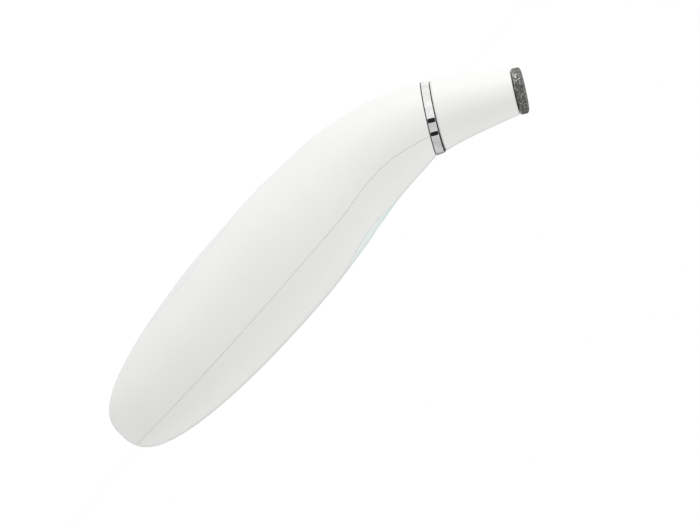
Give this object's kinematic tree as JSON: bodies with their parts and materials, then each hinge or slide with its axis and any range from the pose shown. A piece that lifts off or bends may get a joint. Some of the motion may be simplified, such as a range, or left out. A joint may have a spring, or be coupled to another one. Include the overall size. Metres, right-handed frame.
{
  "type": "microdermabrasion device",
  "caption": "Cordless vacuum skin polishing handpiece: bent two-shell grip, pull-off oblique head with a grit tip, power key, inner motor and pump.",
  "frame": {"origin": "middle of the small flat on the back that the device rests on", "axes": "+X along the straight part of the handle, from the tail towards the head; +Z out of the control side; Y across, and the device is the same on both sides of the XZ plane"},
  "size_m": [0.1848, 0.0406, 0.0528],
  "materials": {
    "white_plastic": "satin",
    "panel_plastic": "satin",
    "teal_lens": "gloss",
    "frosted_lens": "satin",
    "chrome": "polished",
    "black_rubber": "matte",
    "diamond_grit": "matte",
    "steel": "satin",
    "magnet_grey": "satin",
    "dark_plastic": "satin",
    "grey_plastic": "satin",
    "board_green": "satin",
    "battery_wrap": "satin",
    "silicone": "satin",
    "filter_felt": "matte",
    "rotor_core": "satin",
    "brass": "satin"
  },
  "bodies": {
    "handle": {"back_shell": "white_plastic", "front_shell": "white_plastic", "back_panel": "panel_plastic", "control_bezel": "teal_lens", "indicator_lens": "frosted_lens", "circuit_board": "board_green", "tactile_switch": "dark_plastic", "battery_cell": "battery_wrap", "motor_can": "steel", "motor_end_cap": "dark_plastic", "motor_magnets": "magnet_grey", "motor_sleeve": "black_rubber", "pump_crankcase": "grey_plastic", "wobble_plate": "dark_plastic", "pump_diaphragm": "black_rubber", "valve_plate": "grey_plastic", "pump_cover": "grey_plastic", "suction_hose": "silicone", "chassis": "grey_plastic", "chassis_screw_1": "steel", "chassis_screw_2": "steel", "chassis_screw_3": "steel", "chassis_screw_4": "steel", "charge_socket": "steel", "charge_board": "board_green", "neck_spigot": "dark_plastic", "collar_gasket": "black_rubber", "collar_ring": "chrome", "spigot_seal": "black_rubber"},
    "button": {"power_button": "teal_lens"},
    "rotor": {"motor_rotor": "rotor_core", "pump_crank": "brass"},
    "head": {"head_shell": "white_plastic", "filter_pad": "filter_felt"},
    "tip": {"abrasive_tip": "diamond_grit", "tip_seal": "black_rubber"}
  },
  "joints": [
    {"name": "head_pull", "type": "slide", "parent": "handle", "child": "head", "axis": [0.8039, 0, 0.5948], "range_m": [0, 0.03]},
    {"name": "tip_pull", "type": "slide", "parent": "head", "child": "tip", "axis": [0.8039, 0, 0.5948], "range_m": [0, 0.012]},
    {"name": "button_press", "type": "slide", "parent": "handle", "child": "button", "axis": [0, 0, -1], "range_m": [0, 0.0006], "stiffness_N_per_m": 400},
    {"name": "motor_spin", "type": "hinge", "parent": "handle", "child": "rotor", "pos_m": [-0.003, 0, 0.01785], "axis": [1, 0, 0], "continuous": true}
  ]
}
